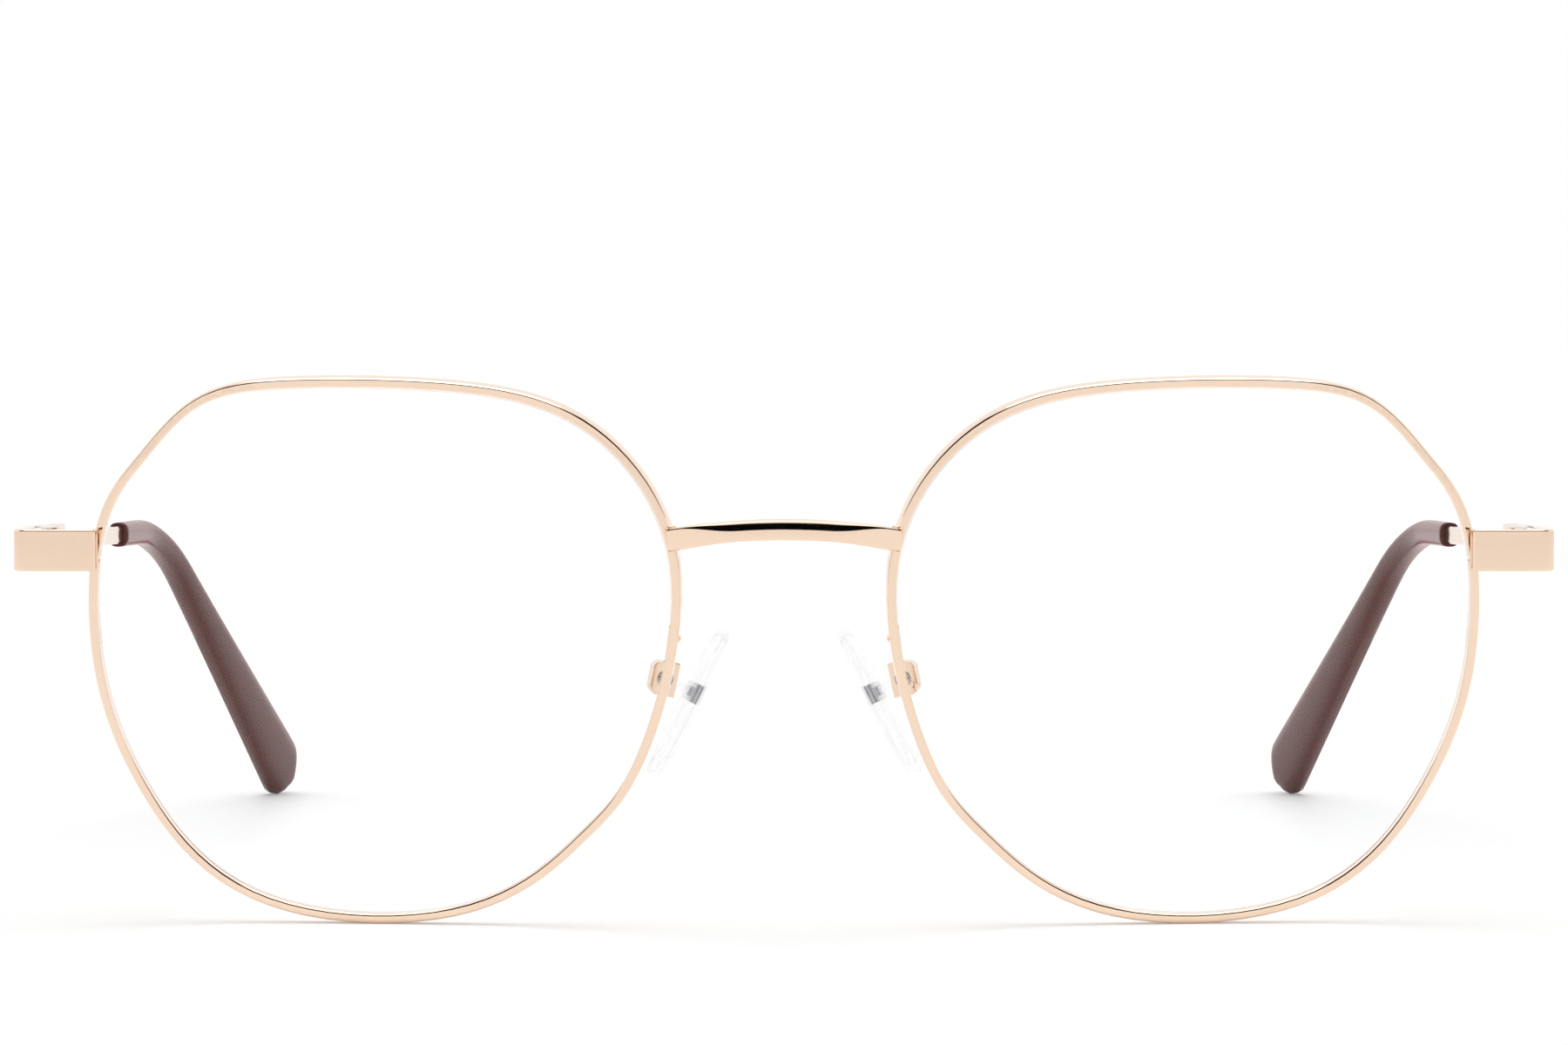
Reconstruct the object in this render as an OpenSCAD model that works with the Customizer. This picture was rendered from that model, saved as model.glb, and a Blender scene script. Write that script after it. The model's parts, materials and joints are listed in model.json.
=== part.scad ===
// Metal eyeglasses with geometric full rims, standing open on a table.
// X runs to the wearer's left, Y runs back along the temples and Z runs up.
// The origin is on the table, in the middle of the glasses' outer box.

/* [Lenses] */
// Width of a lens at its bevel
lens_w = 53.5; // [48:0.5:58]
// Height of a lens at its bevel
lens_h = 49.8; // [44:0.2:54]
// Gap between the two lenses across the nose
lens_gap = 19.6; // [16:0.2:23]
// Thickness of a lens
lens_t = 1.8; // [1.4:0.1:2.2]
// Radius of the sphere that lenses and rims follow
base_radius = 132.5; // [110:2.5:200]
// Thickness of the bevel that sits in the rim's groove
bevel_t = 0.6; // [0.4:0.05:0.7]

/* [Rims] */
// Width of a rim's front band
rim_w = 0.85; // [0.8:0.05:1.2]
// Depth of a rim from front to back
rim_d = 1.9; // [1.6:0.1:2.4]
// Depth of the groove that holds the lens
groove_d = 0.5; // [0.35:0.05:0.55]
// Chamfer along a rim's four edges
rim_edge = 0.15; // [0.05:0.05:0.25]
// Cut in the rim between the two closing blocks
rim_cut = 0.3; // [0.2:0.05:0.6]
// Angle by which each rim turns back towards its temple
wrap = 5; // [0:0.5:8]
// Angle by which the front leans over at the top
lean = 8; // [4:0.5:11]

/* [Bridge] */
// Height of the bridge above the lenses' middle
bridge_up = 11.4; // [8:0.1:13]
// Height of the bridge bar at its ends
bridge_h = 2.05; // [1.6:0.05:2.6]
// Height of the bridge bar at its middle
bridge_mid_h = 1.7; // [1.5:0.05:2.4]
// Depth of the bridge bar at its middle
bridge_d = 1.8; // [1.4:0.1:2.4]
// Thickness of the flat tabs at the bridge's ends
bridge_tab_t = 0.9; // [0.6:0.1:1.3]
// Rise of the bridge's arch
bridge_rise = 1.1; // [0:0.05:2]
// Distance by which the bridge bows forwards
bridge_bow = 1; // [0:0.1:2]

/* [End pieces] */
// Height of the end pieces' middle above the lenses' middle
end_up = 9.55; // [7:0.05:11]
// Height of an end piece
end_h = 3.8; // [3.8:0.1:5]
// Width of an end piece seen from the front
end_w = 7.5; // [6.5:0.1:9]
// Thickness of an end piece
end_t = 1.1; // [0.9:0.1:1.3]
// Part of the rim's front band that the end piece covers
end_lap = 0.6; // [0.3:0.1:0.8]
// Outer radius of the end piece's bend
end_bend_r = 1.3; // [1.3:0.1:1.8]
// Distance from the end piece's front face to the hinge axis
end_depth = 9.2; // [8.6:0.1:11]

/* [Closing blocks] */
// Width of a closing block
block_w = 2.6; // [2.2:0.1:3]
// Depth of a closing block
block_d = 2; // [1.8:0.1:2.4]
// Height of the upper closing block
block_upper_h = 2.5; // [1.8:0.1:2.6]
// Height of the lower closing block
block_lower_h = 1; // [0.9:0.1:1.1]
// Height of the rim's cut above the end piece's lower edge
cut_up = 1.15; // [1.1:0.05:1.2]
// Diameter of the closing screw
closing_screw_d = 1.2; // [1:0.1:1.4]
// Diameter of the closing screw's head
closing_head_d = 1.8; // [1.6:0.1:2]
// Height of the closing screw's head
closing_head_h = 0.45; // [0.3:0.05:0.6]

/* [Hinges] */
// Distance of the hinge axis from the temple's inner face
hinge_in = 1.3; // [1.25:0.05:1.6]
// Outer diameter of the hinge barrels
barrel_d = 2.3; // [2:0.1:2.4]
// Height of the three barrels together
barrel_h = 3.4; // [3.2:0.1:3.6]
// Diameter of the hinge screw
hinge_screw_d = 1.2; // [1:0.1:1.4]
// Diameter of the hinge screw's head
hinge_head_d = 1.8; // [1.6:0.1:1.9]
// Height of the hinge screw's head
hinge_head_h = 0.4; // [0.3:0.1:0.6]
// Length of a hinge leaf
leaf_l = 5; // [3.5:0.1:5.5]
// Thickness of a hinge leaf
leaf_t = 0.8; // [0.6:0.05:0.9]

/* [Temples] */
// Length of a temple from hinge axis to tip, along its middle
temple_len = 146; // [136:1:150]
// Length of the temple up to its ear bend
bend_at = 77; // [74:1:88]
// Radius of the ear bend
bend_r = 38; // [24:1:42]
// Angle of the ear bend
bend_angle = 28.7; // [26:0.1:36]
// Angle at which the open temples turn in
toe_in = 1.9; // [0:0.1:4]
// Angle by which the temple tips turn in further behind the ear bend
tip_toe_in = 8.4; // [4:0.1:12]
// Length of the flat front blade
blade_l = 20; // [14:1:28]
// Height of the flat front blade
blade_h = 3.6; // [3.2:0.1:4]
// Thickness of the flat front blade
blade_t = 1.1; // [0.9:0.05:1.4]
// Height of the temple wire
wire_h = 1.75; // [1.4:0.05:2]
// Thickness of the temple wire
wire_t = 1; // [0.8:0.05:1.2]
// Distance between the end of the wire and the end of the tip
wire_short = 12; // [10:1:30]

/* [Temple tips] */
// Distance from the hinge axis to the front of the plastic tip
tip_at = 61.5; // [52:0.5:66]
// Height of the tip at its front
tip_front_h = 2.5; // [2.4:0.1:3.4]
// Thickness of the tip at its front
tip_front_t = 2; // [1.9:0.1:3]
// Height of the tip behind the ear bend
tip_bend_h = 2.7; // [2.5:0.1:5]
// Thickness of the tip behind the ear bend
tip_bend_t = 2.9; // [2.2:0.1:3.4]
// Greatest height of the tip, near its end
tip_end_h = 6.7; // [5:0.1:9]
// Thickness of the tip near its end
tip_end_t = 2.5; // [2.2:0.1:3.6]
// Length over which the tip's end is rounded
tip_round = 2.5; // [2:0.5:6]
// Angle by which the tip leans behind the ear bend, its upper edge inwards
tip_roll = 18; // [0:1:24]

/* [Nose pads] */
// Length of a nose pad
pad_l = 15; // [13:0.5:16]
// Width of a nose pad
pad_w = 7.6; // [6:0.1:8.4]
// Thickness of a nose pad
pad_t = 1.7; // [1.5:0.1:2.2]
// Lean of the nose pads seen from the front
pad_angle = 27; // [20:0.5:30]
// Turn of the nose pads seen from above
pad_splay = 8; // [4:1:14]
// Distance of a pad's middle from the glasses' middle
pad_x = 8.8; // [8.3:0.1:10]
// Distance of a pad's middle behind the front
pad_y = 9.3; // [9:0.1:11]
// Drop of a pad's middle below the lenses' middle
pad_down = 4.8; // [2:0.1:6]
// Distance of the rocking screw from the pad's middle
pad_pivot = 3.1; // [2.9:0.1:3.4]
// Height of the rocking screw above the pad's middle, along the pad
lug_up = 1; // [-1:0.1:1.5]
// Gap between a nose pad and its box, before the box turns
box_gap = 1.1; // [0.8:0.1:1.2]
// Turn of the pad box towards the upright, round the rocking screw
box_turn = 15; // [0:1:16]
// Height of the pad box
box_l = 3.2; // [3:0.1:3.6]
// Width of the pad box
box_w = 2.6; // [2.4:0.1:3]
// Slot in the pad box
box_slot = 1.1; // [0.9:0.05:1.3]
// Thickness of the clear lug in the pad
lug_t = 0.9; // [0.6:0.05:1.2]
// Diameter of the rocking screw
pad_screw_d = 0.9; // [0.8:0.05:1]
// Diameter of the rocking screw's head
pad_head_d = 1.5; // [1.3:0.1:1.8]
// Height of the rocking screw's head
pad_head_h = 0.35; // [0.2:0.05:0.5]
// Diameter of the pad arm's wire
arm_d = 0.95; // [0.8:0.05:1.2]

/* [Fits] */
// Gap between pieces that are soldered or pressed together
seat_gap = 0.02; // [0.01:0.01:0.05]
// Radial gap of a turning or screwed pin in its bore
pin_gap = 0.04; // [0.02:0.01:0.08]
// Gap beside moving faces
play = 0.06; // [0.05:0.01:0.1]
// Gap between the lens's bevel and the rim's groove
bevel_gap = 0.05; // [0.03:0.01:0.1]

/* [Hidden] */
right = -1;
left = 1;
gold = [0.93, 0.8, 0.68];
steel = [0.72, 0.7, 0.68];
clear = [0.9, 0.95, 0.97, 0.35];
brown = [0.4, 0.28, 0.27];

// Points that pull the lens outline into shape, from the temple side round over the top
shape_points = [[27.8, -2.4], [27.4, 12.4], [22.9, 17.2], [18, 23.7], [9.6, 25], [-8.3, 25],
    [-19.4, 22], [-28.5, 9.4], [-23.2, -11.4], [-18.2, -16.3], [-8.9, -25.6], [14.7, -25.3],
    [23.6, -13.2]];
shape_n = len(shape_points);
// Rings of a rim for each of these points
rim_steps = 10;
// Points for each of them when the outline is measured
fine_n = 16;
// Step along the outline over which its direction is taken
dt = 0.01;
// Facets of round things
pin_fn = 32;
barrel_fn = 48;
bend_fn = 64;
sphere_fn = 240;
// Overshoot of cutting shapes
over = 1;

// Cubic spline through the pull of four neighbouring points
function pull(i) = shape_points[(i + shape_n) % shape_n];
function raw_at(t) =
    let (i = floor(t), f = t - i)
    (pow(1 - f, 3) * pull(i - 1) + (3 * pow(f, 3) - 6 * f * f + 4) * pull(i)
        + (1 + 3 * f + 3 * f * f - 3 * pow(f, 3)) * pull(i + 1) + pow(f, 3) * pull(i + 2)) / 6;
raw_fine = [for (k = [0 : fine_n * shape_n - 1]) raw_at(k / fine_n)];
raw_x = [for (p = raw_fine) p.x];
raw_y = [for (p = raw_fine) p.y];
raw_mid = [max(raw_x) + min(raw_x), max(raw_y) + min(raw_y)] / 2;
scale_x = lens_w / (max(raw_x) - min(raw_x));
scale_y = lens_h / (max(raw_y) - min(raw_y));
function edge_at(t) =
    let (p = raw_at(t) - raw_mid)
    [p.x * scale_x, p.y * scale_y];
function along(t) = (edge_at(t + dt) - edge_at(t - dt)) / (2 * dt);
function outward(t) =
    let (d = along(t))
    [d.y, -d.x] / norm(d);

// The lens frame: x towards the temple, y back and z up, with the lens's middle at zero
function sag(q) = base_radius - sqrt(base_radius * base_radius - q.x * q.x - q.y * q.y);
function on_curve(q, depth) = [q.x, sag(q) + depth, q.y];
// The front frame: x from the middle of the glasses, y back and z up, before it leans over
lens_x = (lens_w + lens_gap) / 2;
function lens_to_front(p) =
    [lens_x + p.x * cos(wrap) - p.y * sin(wrap), p.x * sin(wrap) + p.y * cos(wrap), p.z];
// The standing frame: as the front frame, but leaning over
function front_to_stand(p) =
    [p.x, p.y * cos(lean) - p.z * sin(lean), p.y * sin(lean) + p.z * cos(lean)];

// The rim's cut lies behind the end piece
cut_z = end_up - end_h / 2 + cut_up;
side_y = lens_w / 2 * sin(wrap) + sag([lens_w / 2, end_up]) * cos(wrap);
cut_v = (cut_z - side_y * sin(lean)) / cos(lean);
cut_t = lookup(cut_v, [for (k = [0 : 0.1 : 2]) [edge_at(k).y, k]]);
cut_dt = rim_cut / 2 / norm(along(cut_t));
rim_rings_n = rim_steps * shape_n;
rim_ts = [for (k = [0 : rim_rings_n])
    cut_t + cut_dt + (shape_n - 2 * cut_dt) * k / rim_rings_n];

// Section of a rim: distance outwards from the lens's edge and depth behind its middle
rim_in = bevel_gap - groove_d;
rim_out = rim_in + rim_w;
rim_half = rim_d / 2;
groove_half = bevel_t / 2 + bevel_gap;
rim_section = [[rim_out, rim_edge - rim_half], [rim_out - rim_edge, -rim_half],
    [rim_in + rim_edge, -rim_half], [rim_in, rim_edge - rim_half],
    [rim_in, -groove_half - bevel_gap], [bevel_gap, -groove_half],
    [bevel_gap, groove_half], [rim_in, groove_half + bevel_gap],
    [rim_in, rim_half - rim_edge], [rim_in + rim_edge, rim_half],
    [rim_out - rim_edge, rim_half], [rim_out, rim_half - rim_edge]];
rim_rings = [for (t = rim_ts)
    let (e = edge_at(t), n = outward(t))
    [for (q = rim_section) on_curve(e + n * q.x, q.y)]];
rim_front = [for (r = rim_rings, p = r) lens_to_front(p)];
rim_stand = [for (p = rim_front) front_to_stand(p)];
// Height of the lenses' middle when the rims stand on the table
middle_z = -min([for (p = rim_stand) p.z]);

// Where the end piece meets the rim
function rim_side(z0, z1) = max([for (p = rim_stand) if (p.z > z0 && p.z < z1) p.x]);
end_side = rim_side(end_up - end_h / 2, end_up + end_h / 2);
end_x0 = end_side - end_lap;
end_x1 = end_x0 + end_w;
end_back = min([for (p = rim_stand)
    if (p.x > end_x0 - rim_w && abs(p.z - end_up) < end_h / 2 + rim_w / 2) p.y]) - seat_gap;
end_front = end_back - end_t;

// Closing blocks, clear of the rim's facets above and below them
rim_facet = 1.5;
block_y = end_back + seat_gap;
block_x_upper = rim_side(cut_z, cut_z + block_upper_h + rim_facet) + seat_gap;
block_x_lower = rim_side(cut_z - block_lower_h - rim_facet, cut_z) + seat_gap;
closing_x = max(block_x_upper, block_x_lower) + block_w / 2;
closing_y = block_y + block_d / 2;
block_x1 = closing_x + block_w / 2;
lower_top = cut_z - seat_gap;
lower_bottom = lower_top - block_lower_h;
upper_bottom = cut_z + seat_gap;
closing_end = upper_bottom + block_upper_h - rim_w / 2;

// Hinge
hinge_x = end_x1 - end_t - hinge_in;
hinge_y = end_front + end_depth;
barrel_r = barrel_d / 2;
level = barrel_h / 3;
leaf_start = barrel_r + 3 * play;
leaf_out = hinge_in - seat_gap;
// The neck joins a barrel to its leaf
neck_x = barrel_r / 3;
neck_l = 0.8;

// Temple path in its own frame: straight, round the ear bend, then straight to the tip
blade_mid = hinge_in + blade_t / 2;
blade_gap = 2 * play;
bend_l = bend_r * bend_angle * PI / 180;
// Length over which the tip starts to turn in
toe_ease = 10;
function toe(q) = q < 0 ? 0 : q < toe_ease ? q * q / (2 * toe_ease) : q - toe_ease / 2;
function bent(s) = min(max(s - bend_at, 0) / bend_l, 1);
function turn(s) = bend_angle * bent(s);
function roll(s) = tip_roll * bent(s);
function path(s) =
    let (a = turn(s), d = max(0, s - bend_at - bend_l),
        y = min(s, bend_at) + bend_r * sin(a) + d * cos(a))
    [blade_mid - toe(y - bend_at) * tan(tip_toe_in), y, -bend_r * (1 - cos(a)) - d * sin(a)];
function ring_at(s, section) =
    let (c = path(s), a = turn(s), f = roll(s))
    [for (q = section)
        let (x = q.x * cos(f) - q.y * sin(f), up = q.x * sin(f) + q.y * cos(f))
        c + [x, up * sin(a), up * cos(a)]];

// Sections seen from behind: a bar with broken edges, and an oval that is an ellipse for 1
// and a box for 0
function bar(w, h, edge) =
    let (x = w / 2, y = h / 2)
    [[edge - x, y], [-x, y - edge], [-x, edge - y], [edge - x, -y],
        [x - edge, -y], [x, edge - y], [x, y - edge], [x - edge, y]];
function soft(v, e) = sign(v) * pow(abs(v), e);
oval_n = 16;
function oval(w, h, e) =
    [for (k = [0 : oval_n - 1])
        let (a = 360 * k / oval_n)
        [-w / 2 * soft(sin(a), e), h / 2 * soft(cos(a), e)]];

// The wire, and the tip with the channel that holds it
wire_end = temple_len - wire_short;
wire_n = 24;
function wire_s(k) = tip_at + (wire_end - tip_at) * k / wire_n;
wire_start = blade_l - blade_h / 2;
wire_edge = 0.2;
channel_shape = 0.35;
tip_shape = 0.7;
wire_rings = concat([ring_at(wire_start, bar(wire_t, wire_h, wire_edge))],
    [for (k = [0 : wire_n]) ring_at(wire_s(k), bar(wire_t, wire_h, wire_edge))]);
channel_gap = play;
channel_rings = [for (k = [wire_n : -1 : 0])
    ring_at(wire_s(k) + (k == wire_n ? play : 0),
        oval(wire_t + 2 * channel_gap, wire_h + 2 * channel_gap, channel_shape))];
bend_end = bend_at + bend_l;
tip_full = temple_len - tip_round;
tip_heights = [[tip_at, tip_front_h], [bend_at, (tip_front_h + tip_bend_h) / 2],
    [bend_end, tip_bend_h], [tip_full, tip_end_h], [temple_len, tip_end_h]];
tip_widths = [[tip_at, tip_front_t], [bend_end, tip_bend_t], [tip_full, tip_end_t],
    [temple_len, tip_end_t]];
tip_n = 30;
round_n = 6;
// Angle at which the rounded end stops short of a point
round_stop = 87;
tip_s = concat([for (k = [0 : tip_n]) tip_at + (tip_full - tip_at) * k / tip_n],
    [for (k = [1 : round_n]) tip_full + tip_round * sin(round_stop * k / round_n)]);
function tip_shrink(s) = s < tip_full ? 1 : sqrt(1 - pow((s - tip_full) / tip_round, 2));
// Share of its thickness that the tip loses at its very end
tip_thin = 0.1;
tip_skin = [for (s = tip_s)
    ring_at(s, oval(lookup(s, tip_widths) * (1 - tip_thin * (1 - tip_shrink(s))),
        lookup(s, tip_heights) * tip_shrink(s), tip_shape))];
tip_rings = concat(channel_rings, tip_skin);

// The temples slope just enough for their tips to meet the table
tip_points = [for (r = tip_skin, p = r) p];
function tip_low(slope) =
    end_up + middle_z + min([for (p = tip_points) p.z * cos(slope) - p.y * sin(slope)]);
function settle(low, high, n) =
    let (half = (low + high) / 2)
    n == 0 ? half : tip_low(half) > 0 ? settle(half, high, n - 1) : settle(low, half, n - 1);
slope_low = -8;
slope_high = 12;
slope_tries = 24;
temple_slope = settle(slope_low, slope_high, slope_tries);
function temple_to_stand(p) =
    let (y = p.y * cos(temple_slope) + p.z * sin(temple_slope))
    [hinge_x + p.x * cos(toe_in) - y * sin(toe_in), hinge_y + p.x * sin(toe_in) + y * cos(toe_in),
        end_up + p.z * cos(temple_slope) - p.y * sin(temple_slope)];

// The bridge lies on the rims' fronts, in the front frame
bridge_near = [for (p = rim_front) if (abs(p.z - bridge_up) < bridge_h / 2 + rim_w / 2) p];
nasal_x = min([for (p = bridge_near) p.x]);
bridge_x = nasal_x + rim_w;
bridge_back = min([for (p = bridge_near) if (p.x < bridge_x + rim_w) p.y]) - seat_gap;
bridge_free = nasal_x - seat_gap;
// Length over which a flat tab grows into the bar
blend_l = 5.5;
// The front's rounding is an arc up to the top edge. Where it starts at a tab and at the
// middle, as a share of half the height, and the angle that it turns through
crown_from = [0.85, -0.38];
crown_angle = 47;
crown_n = 6;
function smooth(q) = let (c = min(max(q, 0), 1)) c * c * (3 - 2 * c);
function mix(pair, q) = pair[0] + (pair[1] - pair[0]) * q;
function bridge_section(full) =
    let (h = mix([bridge_h, bridge_mid_h], full) / 2, d = mix([bridge_tab_t, bridge_d], full),
        z0 = h * mix(crown_from, full), r = (h - z0) / sin(crown_angle), e = rim_edge)
    concat([for (k = [0 : crown_n])
            let (a = crown_angle * k / crown_n)
            [r * (1 - cos(a)), z0 + r * sin(a)]],
        [[d - e, h], [d, h - e], [d, e - h], [d - e, -h], [e, -h], [0, e - h]]);
bridge_n = 36;
bridge_rings = [for (k = [0 : bridge_n])
    let (x = bridge_x * (2 * k / bridge_n - 1), q = 1 - pow(x / bridge_x, 2),
        full = smooth((bridge_free - abs(x)) / blend_l),
        y0 = bridge_back - bridge_tab_t - bridge_bow * q,
        z0 = bridge_up - bridge_rise / 2 + bridge_rise * q)
    [for (p = bridge_section(full)) [x, y0 + p.x, z0 + p.y]]];

// Nose pads: frame with x away from the nose, y back and z up along the pad
box_open = pad_t / 2 + box_gap;
box_wall = 0.4;
// The lug's foot inside the pad, its neck and the eye round the screw
foot_l = 1.8;
foot_w = 2;
foot_t = 0.7;
foot_x = -0.2;
neck_w = 0.9;
eye_r = 0.85;
// Distance of the box's back behind the rocking screw, and the rounding of its corners
box_back = eye_r + play + box_wall;
box_corner = 0.9;
pad_n = 12;
// Roundness of the pad's outline and of its thickness towards the ends
pad_round = 2.4;
pad_thin = 6;
// Distance by which the pad's ends bend away from the nose, and its narrowing at the top
pad_bow = 0.05;
pad_taper = 0.1;
pad_shape = 0.85;
function round_off(q, e) = pow(1 - pow(abs(q), e), 1 / e);
pad_rings = [for (k = [0 : pad_n])
    let (q = -cos(180 * (k + 0.25) / (pad_n + 0.5)), f = round_off(q, pad_round),
        g = round_off(q, pad_thin), w = f * (1 - pad_taper * q))
    [for (p = oval(pad_w * w, pad_t * g, pad_shape)) [pad_bow * q * q + p.y, p.x, pad_l / 2 * q]]];
function pad_to_stand(p) =
    let (x = p.x * cos(pad_angle) - p.z * sin(pad_angle))
    [pad_x + x * cos(pad_splay) + p.y * sin(pad_splay),
        pad_y + p.y * cos(pad_splay) - x * sin(pad_splay),
        p.x * sin(pad_angle) + p.z * cos(pad_angle) - pad_down];

// Pad arm: one curve from the back of the rim up and down to the pad box
// Height at which it leaves the rim, and how it sets off and arrives
arm_v = 1.5;
arm_off = [-0.2, 2.4, 1.7];
arm_in = [-0.4, -0.8, 4.4];
// How far its ends' middles stand off the rim and the box, as shares of its diameter
arm_seat = [0.3, 0.13];
arm_t = lookup(-arm_v, [for (k = [6 : 0.1 : 9]) [-edge_at(k).y, k]]);
arm_foot = on_curve(edge_at(arm_t) + outward(arm_t) * (rim_in + rim_w / 2), rim_half);
arm_from = front_to_stand(lens_to_front(arm_foot)) + [0, arm_d * arm_seat[0], 0];
function box_to_pad(p) =
    let (x = p.x - pad_pivot)
    [pad_pivot + x * cos(box_turn) + p.z * sin(box_turn), p.y,
        lug_up + p.z * cos(box_turn) - x * sin(box_turn)];
arm_to = pad_to_stand(box_to_pad([box_open + arm_d, 0, box_l / 2 + arm_d * arm_seat[1]]));
arm_handle = [arm_from + arm_off, arm_to + arm_in];
function bezier(a, b, c, d, t) =
    pow(1 - t, 3) * a + 3 * t * pow(1 - t, 2) * b + 3 * t * t * (1 - t) * c + t * t * t * d;
function bezier_way(a, b, c, d, t) =
    pow(1 - t, 2) * (b - a) + 2 * t * (1 - t) * (c - b) + t * t * (d - c);
arm_n = 20;
arm_sides = 10;
arm_rings = [for (k = [0 : arm_n])
    let (t = k / arm_n, c = bezier(arm_from, arm_handle[0], arm_handle[1], arm_to, t),
        way = bezier_way(arm_from, arm_handle[0], arm_handle[1], arm_to, t),
        e = cross([1, 0, 0], way) / norm(cross([1, 0, 0], way)), f = cross(way, e) / norm(way))
    [for (j = [0 : arm_sides - 1])
        c + arm_d / 2 * (f * cos(360 * j / arm_sides) + e * sin(360 * j / arm_sides))]];

// Middle of the whole depth, from the foremost point to the tips
front_most = min(min([for (p = rim_stand) p.y]),
    min([for (r = bridge_rings, p = r) front_to_stand(p).y]));
back_most = max([for (p = tip_points) temple_to_stand(p).y]);
front_y = -(front_most + back_most) / 2;

module stand() {
    translate([0, front_y, middle_z]) children();
}

module front() {
    stand() rotate([lean, 0, 0]) children();
}

module lens_place() {
    front() translate([lens_x, 0, 0]) rotate([0, 0, wrap]) children();
}

module pad_place() {
    stand() translate([pad_x, pad_y, -pad_down]) rotate([0, 0, -pad_splay])
        rotate([0, -pad_angle, 0]) children();
}

// The lug, its screw and the pad box sit a little above the pad's middle
module lug_place() {
    pad_place() translate([0, 0, lug_up]) children();
}

module hinge_place() {
    stand() translate([hinge_x, hinge_y, end_up]) children();
}

module temple_place() {
    hinge_place() rotate([0, 0, toe_in]) rotate([-temple_slope, 0, 0]) children();
}

module worn(side) {
    mirror([side < 0 ? 1 : 0, 0, 0]) children();
}

// A closed skin over rings with equally many points
module skin(rings) {
    n = len(rings);
    m = len(rings[0]);
    polyhedron(points = [for (r = rings) each r], faces = concat(
        [[for (j = [m - 1 : -1 : 0]) j]],
        [for (i = [0 : n - 2], j = [0 : m - 1])
            let (a = i * m + j, b = i * m + (j + 1) % m)
            each [[a, b, b + m], [a, b + m, a + m]]],
        [[for (j = [0 : m - 1]) (n - 1) * m + j]]));
}

module slab(low, high) {
    translate(low) cube(high - low);
}

module rim(side) {
    color(gold) worn(side) lens_place() skin(rim_rings);
}

// The part of a curved sheet that lies inside the outline
module lens_layer(outset, thick) {
    intersection() {
        rotate([90, 0, 0]) linear_extrude(height = lens_w, center = true)
            polygon([for (t = rim_ts) edge_at(t) + outward(t) * outset]);
        translate([0, base_radius, 0]) difference() {
            sphere(r = base_radius + thick / 2, $fn = sphere_fn);
            sphere(r = base_radius - thick / 2, $fn = sphere_fn);
        }
    }
}

module lens(side) {
    color(clear) worn(side) lens_place() {
        lens_layer(rim_in - 2 * bevel_gap, lens_t);
        lens_layer(0, bevel_t);
    }
}

module bridge() {
    color(gold) front() skin(bridge_rings);
}

module end_piece(side) {
    color(gold) worn(side) stand() {
        slab([end_x0, end_front, end_up - end_h / 2],
            [end_x1 - end_bend_r, end_back, end_up + end_h / 2]);
        translate([end_x1 - end_bend_r, end_front + end_bend_r, end_up - end_h / 2])
            rotate([0, 0, -90]) rotate_extrude(angle = 90, $fn = bend_fn)
                translate([end_bend_r - end_t, 0]) square([end_t, end_h]);
        slab([end_x1 - end_t, end_front + end_bend_r, end_up - end_h / 2],
            [end_x1, hinge_y - play, end_up + end_h / 2]);
    }
}

module closing_bore(bottom, top, d) {
    translate([closing_x, closing_y, bottom]) cylinder(d = d, h = top - bottom, $fn = pin_fn);
}

module closing_block_upper(side) {
    color(gold) worn(side) stand() difference() {
        slab([block_x_upper, block_y, upper_bottom],
            [block_x1, block_y + block_d, upper_bottom + block_upper_h]);
        closing_bore(upper_bottom - over, closing_end + play, closing_screw_d + 2 * pin_gap);
    }
}

module closing_block_lower(side) {
    color(gold) worn(side) stand() difference() {
        slab([block_x_lower, block_y, lower_bottom], [block_x1, block_y + block_d, lower_top]);
        closing_bore(lower_bottom - over, lower_top + over, closing_screw_d + 2 * pin_gap);
        closing_bore(lower_bottom - over, lower_bottom + closing_head_h + seat_gap,
            closing_head_d + 2 * pin_gap);
    }
}

// A driver slot across a screw's head, centred on the screw's axis
module driver_slot(head_d, deep) {
    cube([head_d + over, head_d / 6, 2 * deep], center = true);
}

module closing_screw(side) {
    color(steel) worn(side) stand() difference() {
        union() {
            closing_bore(lower_bottom, lower_bottom + closing_head_h, closing_head_d);
            closing_bore(lower_bottom, closing_end, closing_screw_d);
        }
        translate([closing_x, closing_y, lower_bottom])
            driver_slot(closing_head_d, closing_head_h / 2);
    }
}

module barrel(bottom, top) {
    translate([0, 0, bottom]) cylinder(r = barrel_r, h = top - bottom, $fn = barrel_fn);
}

module hinge_bore() {
    cylinder(d = hinge_screw_d + 2 * pin_gap, h = 2 * barrel_h, center = true, $fn = pin_fn);
}

module hinge_counterbore(gap, above) {
    translate([0, 0, barrel_h / 2 - hinge_head_h - gap])
        cylinder(d = hinge_head_d + 2 * gap, h = hinge_head_h + gap + above, $fn = pin_fn);
}

module front_hinge(side) {
    color(gold) worn(side) hinge_place() difference() {
        union() {
            slab([leaf_out - leaf_t, -leaf_l, -barrel_h / 2], [leaf_out, -leaf_start, barrel_h / 2]);
            for (z = [-barrel_h / 2, level / 2 + play / 2]) {
                slab([-neck_x, -leaf_start - neck_l, z],
                    [leaf_out, 0, z + level - play / 2]);
                barrel(z, z + level - play / 2);
            }
        }
        hinge_bore();
        hinge_counterbore(pin_gap, over);
    }
}

module hinge_screw(side) {
    color(steel) worn(side) hinge_place() difference() {
        union() {
            translate([0, 0, -barrel_h / 2])
                cylinder(d = hinge_screw_d, h = barrel_h - hinge_head_h / 2, $fn = pin_fn);
            hinge_counterbore(0, 0);
        }
        translate([0, 0, barrel_h / 2]) driver_slot(hinge_head_d, hinge_head_h / 2);
    }
}

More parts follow.
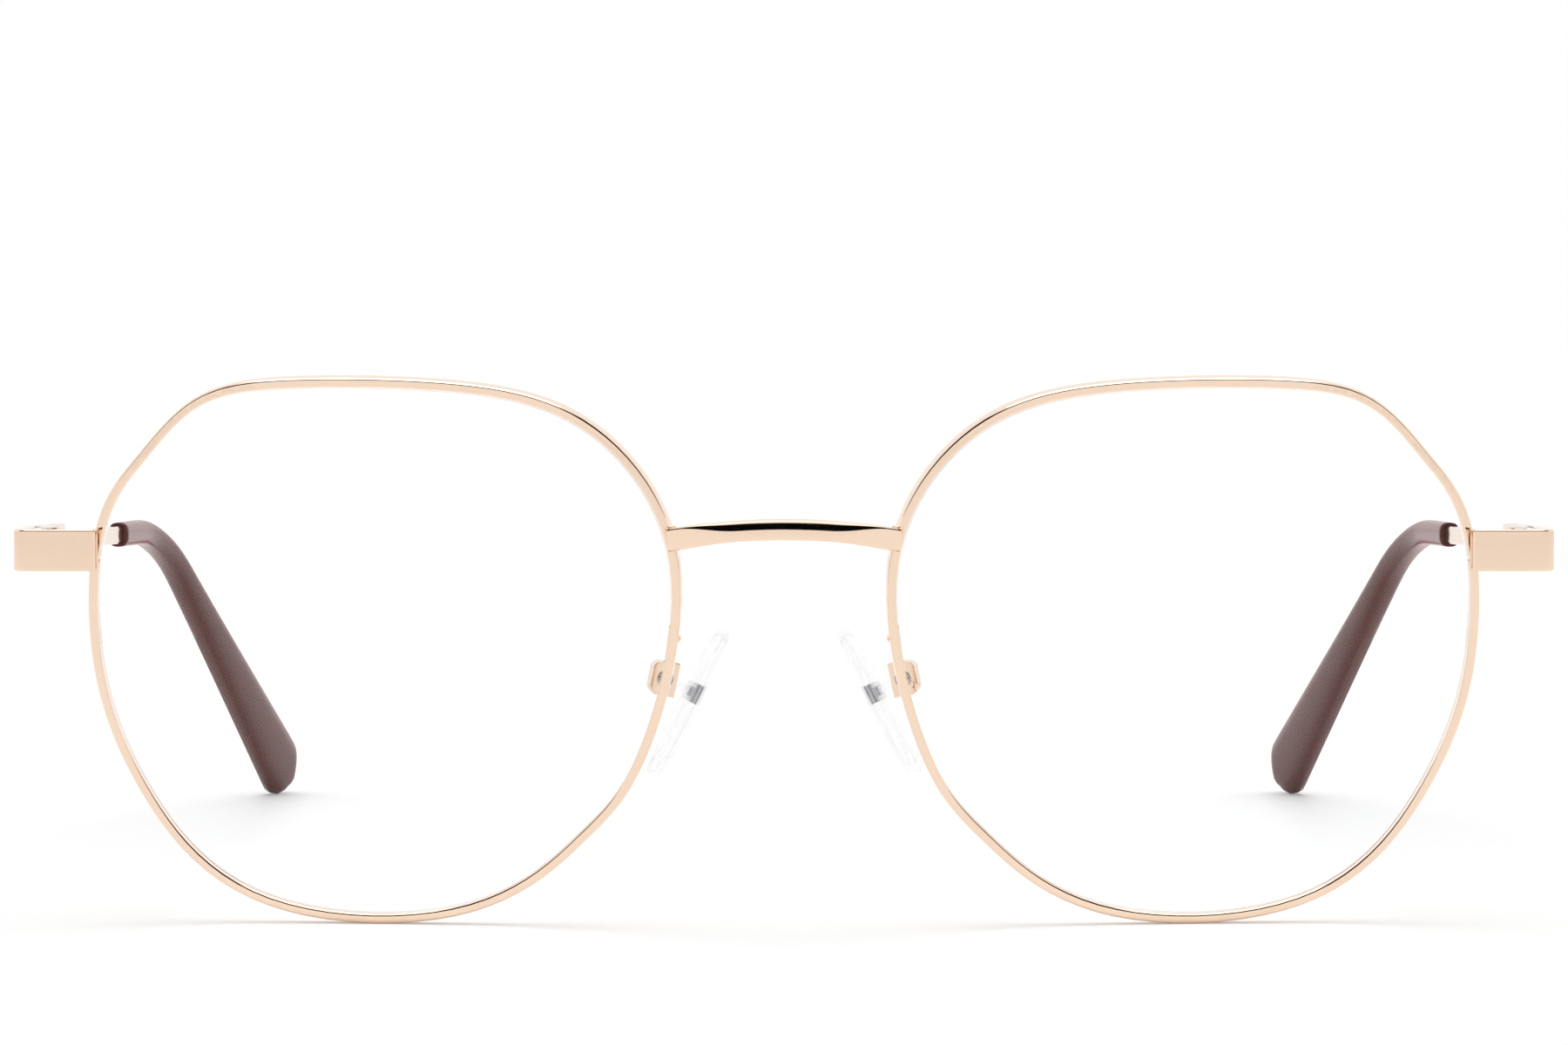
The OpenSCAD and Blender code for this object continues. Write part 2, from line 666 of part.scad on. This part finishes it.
module temple_hinge(side) {
    color(gold) worn(side) hinge_place() rotate([0, 0, toe_in]) difference() {
        union() {
            slab([leaf_out - leaf_t, leaf_start, -barrel_h / 2], [leaf_out, leaf_l, barrel_h / 2]);
            slab([-neck_x, 0, play / 2 - level / 2],
                [leaf_out, leaf_start + neck_l, level / 2 - play / 2]);
            barrel(play / 2 - level / 2, level / 2 - play / 2);
        }
        hinge_bore();
    }
}

module temple(side) {
    color(gold) worn(side) temple_place() {
        translate([hinge_in, 0, 0]) rotate([90, 0, 90]) linear_extrude(height = blade_t) {
            translate([blade_gap, -blade_h / 2]) square([blade_l - blade_h / 2 - blade_gap, blade_h]);
            translate([blade_l - blade_h / 2, 0]) circle(d = blade_h, $fn = barrel_fn);
        }
        skin(wire_rings);
    }
}

module temple_tip(side) {
    color(brown) worn(side) temple_place() skin(tip_rings);
}

module lug_shape(gap) {
    slab([foot_x - foot_t / 2 - gap, -foot_w / 2 - gap, -foot_l / 2 - gap],
        [foot_x + foot_t / 2 + gap, foot_w / 2 + gap, foot_l / 2 + gap]);
    slab([foot_x, -lug_t / 2 - gap, -neck_w / 2 - gap], [pad_pivot, lug_t / 2 + gap, neck_w / 2 + gap]);
}

module nose_pad(side) {
    color(clear) worn(side) pad_place() difference() {
        skin(pad_rings);
        translate([0, 0, lug_up]) lug_shape(seat_gap);
    }
}

module pad_pin(d, low, high) {
    translate([pad_pivot, high, 0]) rotate([90, 0, 0]) cylinder(d = d, h = high - low, $fn = pin_fn);
}

module pad_lug(side) {
    color(clear) worn(side) lug_place() difference() {
        union() {
            lug_shape(0);
            pad_pin(2 * eye_r, -lug_t / 2, lug_t / 2);
        }
        pad_pin(pad_screw_d + 2 * pin_gap, -lug_t, lug_t);
    }
}

// A pad box's outline: square at its mouth and with rounded corners at its back
module box_outline(inset) {
    hull() {
        for (z = [-1, 1])
            translate([pad_pivot + box_back - box_corner, z * (box_l / 2 - box_corner)])
                circle(r = box_corner - inset, $fn = barrel_fn);
        translate([box_open, inset - box_l / 2]) square([box_wall, box_l - 2 * inset]);
    }
}

module box_place() {
    lug_place() translate([pad_pivot, 0, 0]) rotate([0, box_turn, 0])
        translate([-pad_pivot, 0, 0]) children();
}

module pad_box(side) {
    color(gold) worn(side) box_place() difference() {
        rotate([90, 0, 0]) linear_extrude(height = box_w, center = true) box_outline(0);
        rotate([90, 0, 0]) linear_extrude(height = box_slot, center = true) {
            box_outline(box_wall);
            translate([0, box_wall - box_l / 2])
                square([box_open + over, box_l - 2 * box_wall]);
        }
        pad_pin(pad_screw_d + 2 * pin_gap, -box_w, box_w);
    }
}

module pad_screw(side) {
    top = -box_w / 2 - seat_gap;
    color(steel) worn(side) lug_place() difference() {
        union() {
            pad_pin(pad_screw_d, top - pad_head_h / 2, box_w / 2);
            pad_pin(pad_head_d, top - pad_head_h, top);
        }
        translate([pad_pivot, top - pad_head_h, 0]) rotate([90, 0, 0])
            driver_slot(pad_head_d, pad_head_h / 2);
    }
}

module pad_arm(side) {
    color(gold) worn(side) stand() skin(arm_rings);
}

rim(right);  // rim_right
rim(left);  // rim_left
bridge();
end_piece(right);  // end_piece_right
end_piece(left);  // end_piece_left
closing_block_upper(right);  // closing_block_upper_right
closing_block_upper(left);  // closing_block_upper_left
closing_block_lower(right);  // closing_block_lower_right
closing_block_lower(left);  // closing_block_lower_left
closing_screw(right);  // closing_screw_right
closing_screw(left);  // closing_screw_left
lens(right);  // lens_right
lens(left);  // lens_left
pad_arm(right);  // pad_arm_right
pad_arm(left);  // pad_arm_left
pad_box(right);  // pad_box_right
pad_box(left);  // pad_box_left
pad_screw(right);  // pad_screw_right
pad_screw(left);  // pad_screw_left
nose_pad(right);  // nose_pad_right
nose_pad(left);  // nose_pad_left
pad_lug(right);  // pad_lug_right
pad_lug(left);  // pad_lug_left
front_hinge(right);  // front_hinge_right
front_hinge(left);  // front_hinge_left
hinge_screw(right);  // hinge_screw_right
hinge_screw(left);  // hinge_screw_left
temple_hinge(right);  // temple_hinge_right
temple_hinge(left);  // temple_hinge_left
temple(right);  // temple_right
temple(left);  // temple_left
temple_tip(right);  // temple_tip_right
temple_tip(left);  // temple_tip_left
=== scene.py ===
import json
import math

import bmesh
import bpy
from mathutils import Matrix, Vector

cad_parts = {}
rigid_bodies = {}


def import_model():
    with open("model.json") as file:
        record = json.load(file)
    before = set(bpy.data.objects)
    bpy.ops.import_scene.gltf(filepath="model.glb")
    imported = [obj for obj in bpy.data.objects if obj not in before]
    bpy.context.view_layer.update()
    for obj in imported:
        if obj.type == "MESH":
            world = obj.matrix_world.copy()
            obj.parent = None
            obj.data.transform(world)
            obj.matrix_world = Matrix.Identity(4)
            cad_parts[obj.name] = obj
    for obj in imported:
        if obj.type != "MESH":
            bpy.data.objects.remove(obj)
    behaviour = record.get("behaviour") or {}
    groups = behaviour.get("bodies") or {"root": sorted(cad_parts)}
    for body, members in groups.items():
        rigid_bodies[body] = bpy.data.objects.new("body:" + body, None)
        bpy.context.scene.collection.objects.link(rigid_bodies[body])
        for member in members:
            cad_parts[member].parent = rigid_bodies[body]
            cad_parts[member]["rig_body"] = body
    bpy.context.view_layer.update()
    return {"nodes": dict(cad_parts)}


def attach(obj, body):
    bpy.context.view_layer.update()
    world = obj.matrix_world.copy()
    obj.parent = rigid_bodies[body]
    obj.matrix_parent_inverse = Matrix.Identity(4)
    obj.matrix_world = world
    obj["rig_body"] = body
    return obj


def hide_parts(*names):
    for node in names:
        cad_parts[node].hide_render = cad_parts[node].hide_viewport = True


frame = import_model()

# Lengths are in metres in the glasses' own frame: X to the wearer's left, Y back, Z up.
MM = 0.001
SIDES = ("right", "left")
# Edges sharper than this are softened
EDGE_ANGLE = math.radians(30)
# The front leans forwards; the middle of its lenses is here in the glasses' frame
FRONT_LEAN = math.radians(8)
FRONT_MIDDLE = (0, -72.7146 * MM, 24.8097 * MM)
# Middle of the sphere that the left lens follows
LENS_CENTRE = (25.002 * MM, 57.997 * MM, 43.180 * MM)
# Pivot of both nose pads and the way their lugs' stems run, with X and Y taken without their signs
PAD_PIVOT = (11.0857 * MM, 63.7358 * MM, 22.3081 * MM)
STEM_AXIS = (-0.8823, -0.124, -0.454)
# Along the stem, the foot of a lug, which is painted darker as shade, starts this far from the
# pivot
FOOT_START = 2.65 * MM

# The photograph's camera, in front of the glasses and looking a little down on them
PHOTO_WIDTH_PX = 1800
PHOTO_FOCAL_PX = 7614
SENSOR_MM = 36
CAMERA_Y = -672.7 * MM
CAMERA_Z = 62.9 * MM
CAMERA_PITCH = math.radians(2.474)

scene = bpy.context.scene
scene.view_settings.view_transform = "Standard"


# Materials

def linear(code):
    """An sRGB hex colour as linear red, green, blue and alpha."""
    parts = [int(code[i:i + 2], 16) / 255 for i in (0, 2, 4)]
    return [c / 12.92 if c <= 0.04045 else ((c + 0.055) / 1.055) ** 2.4 for c in parts] + [1]


def add(tree, kind, inputs=None, **settings):
    """Adds a node, sets its properties, and sets its inputs to values or links them to sockets."""
    node = tree.nodes.new(kind)
    for name, value in settings.items():
        setattr(node, name, value)
    for name, value in (inputs or {}).items():
        if isinstance(value, bpy.types.NodeSocket):
            tree.links.new(value, node.inputs[name])
        else:
            node.inputs[name].default_value = value
    return node


def larger(tree, first, second):
    """The larger of two values."""
    return add(tree, "ShaderNodeMath", {0: first, 1: second}, operation="MAXIMUM").outputs["Value"]


def new_material(name):
    """An empty material with its node tree and output."""
    material = bpy.data.materials.new(name)
    material.use_nodes = True
    tree = material.node_tree
    tree.nodes.clear()
    return material, tree, add(tree, "ShaderNodeOutputMaterial")


def gold_plating():
    """Pale rose-gold plating, polished: a mirror with a warm tint and faint wiping marks."""
    material, tree, output = new_material("polished_rose_gold_plating")
    place = add(tree, "ShaderNodeTexCoord").outputs["Object"]
    # Slow change of tint, over about 6 mm
    tint = add(tree, "ShaderNodeTexNoise", {"Vector": place, "Scale": 1 / (6 * MM), "Detail": 2.0})
    colour = add(tree, "ShaderNodeMix", {
        "Factor": tint.outputs["Fac"], "A": linear("f6ddc6"), "B": linear("f2d6be")},
        data_type="RGBA")
    # Wiping marks about 0.4 mm apart, long along X
    stretch = add(tree, "ShaderNodeMapping", {"Vector": place, "Scale": (0.25, 1, 1)})
    marks = add(tree, "ShaderNodeTexNoise", {
        "Vector": stretch.outputs["Vector"], "Scale": 1 / (0.4 * MM), "Detail": 3.0})
    rough = add(tree, "ShaderNodeMapRange", {
        "Value": marks.outputs["Fac"], "To Min": 0.06, "To Max": 0.12})
    bump = add(tree, "ShaderNodeBump", {
        "Height": marks.outputs["Fac"], "Strength": 0.05, "Distance": 0.01 * MM})
    metal = add(tree, "ShaderNodeBsdfPrincipled", {
        "Base Color": colour.outputs["Result"], "Metallic": 1.0,
        "Roughness": rough.outputs["Result"], "Normal": bump.outputs["Normal"]})
    tree.links.new(metal.outputs["BSDF"], output.inputs["Surface"])
    return material


def steel():
    """Turned stainless steel: grey, with fine marks that soften its shine."""
    material, tree, output = new_material("turned_stainless_steel")
    place = add(tree, "ShaderNodeTexCoord").outputs["Object"]
    # Turning marks about 0.12 mm apart, drawn coarser than real ones so that they show
    marks = add(tree, "ShaderNodeTexNoise", {
        "Vector": place, "Scale": 1 / (0.12 * MM), "Detail": 2.0})
    rough = add(tree, "ShaderNodeMapRange", {
        "Value": marks.outputs["Fac"], "To Min": 0.25, "To Max": 0.4})
    bump = add(tree, "ShaderNodeBump", {
        "Height": marks.outputs["Fac"], "Strength": 0.15, "Distance": 0.01 * MM})
    metal = add(tree, "ShaderNodeBsdfPrincipled", {
        "Base Color": linear("bdb8b2"), "Metallic": 1.0,
        "Roughness": rough.outputs["Result"], "Normal": bump.outputs["Normal"]})
    tree.links.new(metal.outputs["BSDF"], output.inputs["Surface"])
    return material


def clear_material(name, inputs, faintness=0.0):
    """Clear plastic that lets the lamps' light through, so that it casts no dark shadow.
    Faintness is the share of what is behind it that is seen unbent."""
    material, tree, output = new_material(name)
    plastic = add(tree, "ShaderNodeBsdfPrincipled", {"Transmission Weight": 1.0, **inputs(tree)})
    through = add(tree, "ShaderNodeBsdfTransparent")
    path = add(tree, "ShaderNodeLightPath")
    either = add(tree, "ShaderNodeMixShader", {
        0: larger(tree, path.outputs["Is Shadow Ray"], faintness),
        1: plastic.outputs["BSDF"], 2: through.outputs["BSDF"]})
    tree.links.new(either.outputs["Shader"], output.inputs["Surface"])
    return material


def lens_plastic(tree):
    """Polished lens plastic: quite clear, with a trace of unevenness in its polish."""
    place = add(tree, "ShaderNodeTexCoord").outputs["Object"]
    polish = add(tree, "ShaderNodeTexNoise", {"Vector": place, "Scale": 1 / (8 * MM)})
    rough = add(tree, "ShaderNodeMapRange", {
        "Value": polish.outputs["Fac"], "To Min": 0.0, "To Max": 0.02})
    # A lower index than the plastic's stands for its anti-reflective coating
    return {"Base Color": linear("fcfdfd"), "IOR": 1.2, "Roughness": rough.outputs["Result"]}


def pad_silicone(tree):
    """Moulded clear silicone: soft and slightly hazy, with a trace of grey."""
    place = add(tree, "ShaderNodeTexCoord").outputs["Object"]
    haze = add(tree, "ShaderNodeTexNoise", {"Vector": place, "Scale": 1 / (1.5 * MM)})
    rough = add(tree, "ShaderNodeMapRange", {
        "Value": haze.outputs["Fac"], "To Min": 0.08, "To Max": 0.16})
    return {"Base Color": linear("f7f8f8"), "IOR": 1.41, "Roughness": rough.outputs["Result"]}


def lug_polycarbonate(tree):
    """Moulded clear polycarbonate, the harder plastic of the lugs inside the pads. The foot of
    a lug is tinted grey as painted shade, for the darker look it has where light crosses more of
    the plastic."""
    place = add(tree, "ShaderNodeTexCoord").outputs["Object"]
    flow = add(tree, "ShaderNodeTexNoise", {"Vector": place, "Scale": 1 / (0.8 * MM)})
    rough = add(tree, "ShaderNodeMapRange", {
        "Value": flow.outputs["Fac"], "To Min": 0.02, "To Max": 0.08})
    # A place without its signs is the same for both lugs
    unsigned = add(tree, "ShaderNodeVectorMath", {0: place}, operation="ABSOLUTE")
    from_pivot = add(tree, "ShaderNodeVectorMath", {
        0: unsigned.outputs["Vector"], 1: PAD_PIVOT}, operation="SUBTRACT")
    along = add(tree, "ShaderNodeVectorMath", {
        0: from_pivot.outputs["Vector"], 1: STEM_AXIS}, operation="DOT_PRODUCT")
    # Painted shade: from FOOT_START on along the stem, the foot's colour turns grey
    foot = add(tree, "ShaderNodeMapRange", {
        "Value": along.outputs["Value"], "From Min": FOOT_START - 0.1 * MM,
        "From Max": FOOT_START + 0.1 * MM})
    colour = add(tree, "ShaderNodeMix", {
        "Factor": foot.outputs["Result"], "A": linear("f6f6f7"), "B": linear("8f8d93")},
        data_type="RGBA")
    return {"Base Color": colour.outputs["Result"], "IOR": 1.58,
            "Roughness": rough.outputs["Result"]}


def tip_acetate():
    """Tumbled brown acetate: satin, with cloudy depth and a fine tumbled grain."""
    material, tree, output = new_material("tumbled_brown_acetate")
    place = add(tree, "ShaderNodeTexCoord").outputs["Object"]
    # Clouds in the plastic about 5 mm across
    clouds = add(tree, "ShaderNodeTexNoise", {"Vector": place, "Scale": 1 / (5 * MM)})
    colour = add(tree, "ShaderNodeMix", {
        "Factor": clouds.outputs["Fac"], "A": linear("4f2621"), "B": linear("5a2e29")},
        data_type="RGBA")
    # Tumbled grain, drawn at 0.2 mm so that it shows
    grain = add(tree, "ShaderNodeTexNoise", {
        "Vector": place, "Scale": 1 / (0.2 * MM), "Detail": 2.0})
    rough = add(tree, "ShaderNodeMapRange", {
        "Value": grain.outputs["Fac"], "To Min": 0.14, "To Max": 0.2})
    bump = add(tree, "ShaderNodeBump", {
        "Height": grain.outputs["Fac"], "Strength": 0.01, "Distance": 0.01 * MM})
    plastic = add(tree, "ShaderNodeBsdfPrincipled", {
        "Base Color": colour.outputs["Result"], "IOR": 1.5, "Specular IOR Level": 0.14,
        "Specular Tint": linear("ffb4a8"), "Roughness": rough.outputs["Result"],
        "Normal": bump.outputs["Normal"], "Sheen Weight": 0.3, "Sheen Roughness": 0.25,
        "Sheen Tint": linear("ff8c80")})
    tree.links.new(plastic.outputs["BSDF"], output.inputs["Surface"])
    return material


gold = gold_plating()
screw_steel = steel()
lens_clear = clear_material("polished_lens_plastic", lens_plastic)
pad_clear = clear_material("moulded_clear_silicone", pad_silicone, 0.65)
lug_clear = clear_material("moulded_clear_polycarbonate", lug_polycarbonate)
acetate = tip_acetate()


# Pieces

def finish(node, material, edge, rounds=0):
    """A finished copy of a CAD piece in its place. Its edges are softened over a width of edge,
    and a skin over smooth curves is also subdivided rounds times, with its edges kept crisp."""
    source = frame["nodes"][node]
    mesh = source.data.copy()
    mesh.materials.clear()
    mesh.materials.append(material)
    piece = bpy.data.objects.new(node + "_finished", mesh)
    scene.collection.objects.link(piece)
    shape = bmesh.new()
    shape.from_mesh(mesh)
    bmesh.ops.remove_doubles(shape, verts=shape.verts, dist=0.5e-6)
    if rounds:
        bmesh.ops.join_triangles(
            shape, faces=shape.faces, angle_face_threshold=math.radians(25),
            angle_shape_threshold=math.radians(60))
        crease = shape.edges.layers.float.new("crease_edge")
        for line in shape.edges:
            if line.calc_face_angle(0) > EDGE_ANGLE:
                line[crease] = 1
    elif edge:
        bmesh.ops.dissolve_limit(
            shape, angle_limit=math.radians(0.5), verts=shape.verts, edges=shape.edges)
    for face in shape.faces:
        face.smooth = True
    shape.to_mesh(mesh)
    shape.free()
    if rounds:
        subdivision = piece.modifiers.new("rounding", "SUBSURF")
        subdivision.levels = rounds
        subdivision.render_levels = rounds
    if edge:
        bevel = piece.modifiers.new("soft edges", "BEVEL")
        bevel.width = edge
        bevel.segments = 2
        bevel.limit_method = "ANGLE"
        bevel.angle_limit = EDGE_ANGLE
        keep_flat = piece.modifiers.new("flat faces", "WEIGHTED_NORMAL")
        keep_flat.weight = 100
        keep_flat.keep_sharp = True
    else:
        mesh.set_sharp_from_angle(angle=EDGE_ANGLE)
    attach(piece, source["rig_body"])
    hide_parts(node)
    return piece


def to_side(place, side):
    """A place or direction on the left, or the same one mirrored to the right."""
    return (place[0] if side == "left" else -place[0], *place[1:])


def round_normals(piece, centre):
    """Shades the faces that follow a sphere round centre as that sphere, the rest as flat."""
    mesh = piece.data
    normals = []
    for face in mesh.polygons:
        flat = face.normal.copy()
        for corner in face.vertices:
            out = (mesh.vertices[corner].co - centre).normalized()
            along = out.dot(flat)
            normals.append(out * math.copysign(1, along) if abs(along) > 0.99 else flat)
    mesh.normals_split_custom_set(normals)


def bead(name, points, radius, closed=False):
    """A thin fillet of solder along points, tapering to its ends unless it closes on itself."""
    curve = bpy.data.curves.new(name, "CURVE")
    curve.dimensions = "3D"
    curve.bevel_depth = radius
    curve.bevel_resolution = 3
    curve.use_fill_caps = True
    curve.materials.append(gold)
    line = curve.splines.new("POLY")
    line.points.add(len(points) - 1)
    line.use_cyclic_u = closed
    line.use_smooth = True
    for i, (point, place) in enumerate(zip(line.points, points)):
        point.co = (*place, 1)
        share = 2 * i / (len(points) - 1) - 1
        point.radius = 1 if closed else max(0.2, (1 - share ** 4) ** 0.5)
    piece = bpy.data.objects.new(name, curve)
    scene.collection.objects.link(piece)
    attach(piece, "front")
    return piece


def between(start, end, count):
    """Points along a straight line, count of them, given in millimetres and returned in metres."""
    start, end = Vector(start) * MM, Vector(end) * MM
    return [start.lerp(end, i / (count - 1)) for i in range(count)]


def ring(centre, along, radius, count=20):
    """Points of a circle round centre, square to along, given in millimetres and returned in
    metres."""
    along = Vector(along).normalized()
    across = along.orthogonal().normalized()
    turns = [Matrix.Rotation(math.tau * i / count, 3, along) for i in range(count)]
    return [(Vector(centre) + turn @ across * radius) * MM for turn in turns]


finish("bridge", gold, 0.12 * MM, 2)
for side in SIDES:
    finish("rim_" + side, gold, 0.05 * MM)
    finish("pad_arm_" + side, gold, 0.05 * MM, 1)
    finish("temple_" + side, gold, 0.1 * MM)
    finish("temple_tip_" + side, acetate, 0.2 * MM, 1)
    finish("nose_pad_" + side, pad_clear, 0.08 * MM, 2)
    lens = finish("lens_" + side, lens_clear, 0)
    round_normals(lens, Vector(to_side(LENS_CENTRE, side)))
    # The metal doesn't mirror the lenses, as their coating has next to no reflection
    lens.visible_glossy = False
    finish("end_piece_" + side, gold, 0.25 * MM)
    for name in ("closing_block_upper", "closing_block_lower", "pad_box", "front_hinge",
                 "temple_hinge"):
        finish(f"{name}_{side}", gold, 0.08 * MM)
    finish("pad_lug_" + side, lug_clear, 0.05 * MM)
    for name in ("closing_screw", "hinge_screw", "pad_screw"):
        finish(f"{name}_{side}", screw_steel, 0.05 * MM)


# Solder fillets on the left, in millimetres. Those round the bridge's tab are in the front's own
# frame, with its middle as the origin, and the others in the glasses' frame.
TAB_SEAMS = {
    "upper": ((9.75, -0.33, 12.06), (10.5, -0.33, 11.92)),
    "lower": ((9.75, -0.33, 9.96), (10.5, -0.33, 9.81)),
    "end": ((10.58, -0.33, 9.95), (10.58, -0.33, 11.8))}
END_PIECE_SEAM = ((62.52, -70.16, 32.65), (62.52, -70.16, 36.1))
# Where the pad arm's ends meet the rim and the pad box, and the way the arm runs there
ARM_FOOT, ARM_FOOT_WAY = (9.88, -71.43, 26.41), (-0.2, 2.4, 1.7)
ARM_END, ARM_END_WAY = (10.55, -63.65, 23.85), (0.4, 0.8, -4.4)
ARM_RING_RADIUS = 0.47

lean = Matrix.Translation(FRONT_MIDDLE) @ Matrix.Rotation(FRONT_LEAN, 4, "X")
for side in SIDES:
    for name, seam in TAB_SEAMS.items():
        points = between(*(to_side(p, side) for p in seam), 9)
        bead(f"bridge_fillet_{name}_{side}", [lean @ p for p in points], 0.11 * MM)
    bead("end_piece_fillet_" + side,
         between(*(to_side(p, side) for p in END_PIECE_SEAM), 9), 0.12 * MM)
    bead("arm_foot_fillet_" + side,
         ring(to_side(ARM_FOOT, side), to_side(ARM_FOOT_WAY, side), ARM_RING_RADIUS),
         0.09 * MM, True)
    bead("arm_end_fillet_" + side,
         ring(to_side(ARM_END, side), to_side(ARM_END_WAY, side), ARM_RING_RADIUS),
         0.1 * MM, True)


# Stage, light and camera

# The lamp hangs this high, the card stands this far off, and the table goes this far each way
LAMP_HEIGHT = 1.2
CARD_DISTANCE = 1.2
TABLE_REACH = 3
# From near to far, the table's own brightness changes over these distances from its middle
GLOW_NEAR, GLOW_FAR = 0.3, 1.5


def studio_world(light):
    """A white room, at strength light where it lights the glasses."""
    world = bpy.data.worlds.new("white_room")
    world.use_nodes = True
    tree = world.node_tree
    tree.nodes.clear()
    path = add(tree, "ShaderNodeLightPath")
    seen = larger(tree, path.outputs["Is Camera Ray"], path.outputs["Is Transmission Ray"])
    strength = add(tree, "ShaderNodeMapRange", {
        "Value": larger(tree, seen, path.outputs["Is Glossy Ray"]), "To Min": light,
        "To Max": 1.0})
    room = add(tree, "ShaderNodeBackground", {
        "Color": (1, 1, 1, 1), "Strength": strength.outputs["Result"]})
    output = add(tree, "ShaderNodeOutputWorld")
    tree.links.new(room.outputs["Background"], output.inputs["Surface"])
    scene.world = world


def table(near, far, sheen):
    """A white table top under the glasses. Where it is seen, it is brightened by near around
    them and by far beyond the lamp's light, and where it is mirrored, by sheen."""
    material, tree, output = new_material("white_table")
    path = add(tree, "ShaderNodeLightPath")
    seen = larger(tree, path.outputs["Is Camera Ray"], path.outputs["Is Transmission Ray"])
    away = add(tree, "ShaderNodeVectorMath", {
        0: add(tree, "ShaderNodeTexCoord").outputs["Object"]}, operation="LENGTH")
    glow = add(tree, "ShaderNodeMapRange", {
        "Value": away.outputs["Value"], "From Min": GLOW_NEAR, "From Max": GLOW_FAR,
        "To Min": near, "To Max": far})
    direct = add(tree, "ShaderNodeMath", {
        0: seen, 1: glow.outputs["Result"]}, operation="MULTIPLY")
    mirrored = add(tree, "ShaderNodeMath", {
        0: path.outputs["Is Glossy Ray"], 1: sheen}, operation="MULTIPLY")
    strength = larger(tree, direct.outputs["Value"], mirrored.outputs["Value"])
    top = add(tree, "ShaderNodeBsdfPrincipled", {
        "Base Color": linear("f6f6f6"), "Roughness": 0.6, "Emission Color": (1, 1, 1, 1),
        "Emission Strength": strength})
    tree.links.new(top.outputs["BSDF"], output.inputs["Surface"])
    shape = bmesh.new()
    bmesh.ops.create_grid(shape, x_segments=1, y_segments=1, size=TABLE_REACH)
    mesh = bpy.data.meshes.new("table")
    shape.to_mesh(mesh)
    shape.free()
    mesh.materials.append(material)
    top_object = bpy.data.objects.new("table", mesh)
    # Just under the rims, so that no face of theirs lies in the table's
    top_object.location.z = -0.02 * MM
    scene.collection.objects.link(top_object)


def dark_card(low, high, width):
    """A curved black card in front, from angle low to angle high above the table. Only mirrors
    see it: it draws the dark bands on the polished metal."""
    material, tree, output = new_material("black_card")
    black = add(tree, "ShaderNodeBsdfDiffuse", {"Color": linear("0a0a0a")})
    tree.links.new(black.outputs["BSDF"], output.inputs["Surface"])
    shape = bmesh.new()
    start = shape.verts.new(
        (0, -CARD_DISTANCE * math.cos(low), CARD_DISTANCE * math.sin(low)))
    bmesh.ops.spin(
        shape, geom=[start], cent=(0, 0, 0), axis=(-1, 0, 0), angle=high - low, steps=12)
    edges = list(shape.edges)
    bmesh.ops.rotate(
        shape, verts=shape.verts, cent=(0, 0, 0),
        matrix=Matrix.Rotation(-width / 2, 3, "Z"))
    bmesh.ops.spin(
        shape, geom=edges, cent=(0, 0, 0), axis=(0, 0, 1), angle=width, steps=24)
    mesh = bpy.data.meshes.new("black_card")
    shape.to_mesh(mesh)
    shape.free()
    mesh.materials.append(material)
    card = bpy.data.objects.new("black_card", mesh)
    scene.collection.objects.link(card)
    card.visible_camera = False
    card.visible_diffuse = False
    card.visible_shadow = False
    card.visible_transmission = False
    card.visible_volume_scatter = False


def softbox(name, place, size, watts, aim=(0, 0, 0.03)):
    """A square area lamp that faces aim."""
    lamp = bpy.data.lights.new(name, "AREA")
    lamp.size = size
    lamp.energy = watts
    holder = bpy.data.objects.new(name, lamp)
    holder.location = place
    away = holder.location - Vector(aim)
    holder.rotation_euler = away.to_track_quat("Z", "Y").to_euler()
    scene.collection.objects.link(holder)


def photo_camera():
    """The photograph's camera."""
    camera = bpy.data.cameras.new("camera")
    camera.sensor_width = SENSOR_MM
    camera.lens = PHOTO_FOCAL_PX / PHOTO_WIDTH_PX * SENSOR_MM
    camera.clip_start = 0.01
    holder = bpy.data.objects.new("camera", camera)
    holder.location = (0, CAMERA_Y, CAMERA_Z)
    holder.rotation_euler = (math.pi / 2 - CAMERA_PITCH, 0, 0)
    scene.collection.objects.link(holder)
    scene.camera = holder


studio_world(0.7)
table(0.12, 0.4, 0.15)
dark_card(math.radians(16), math.radians(59), math.radians(150))
softbox("top_light", (0, 0, LAMP_HEIGHT), 1.0, 5)
photo_camera()
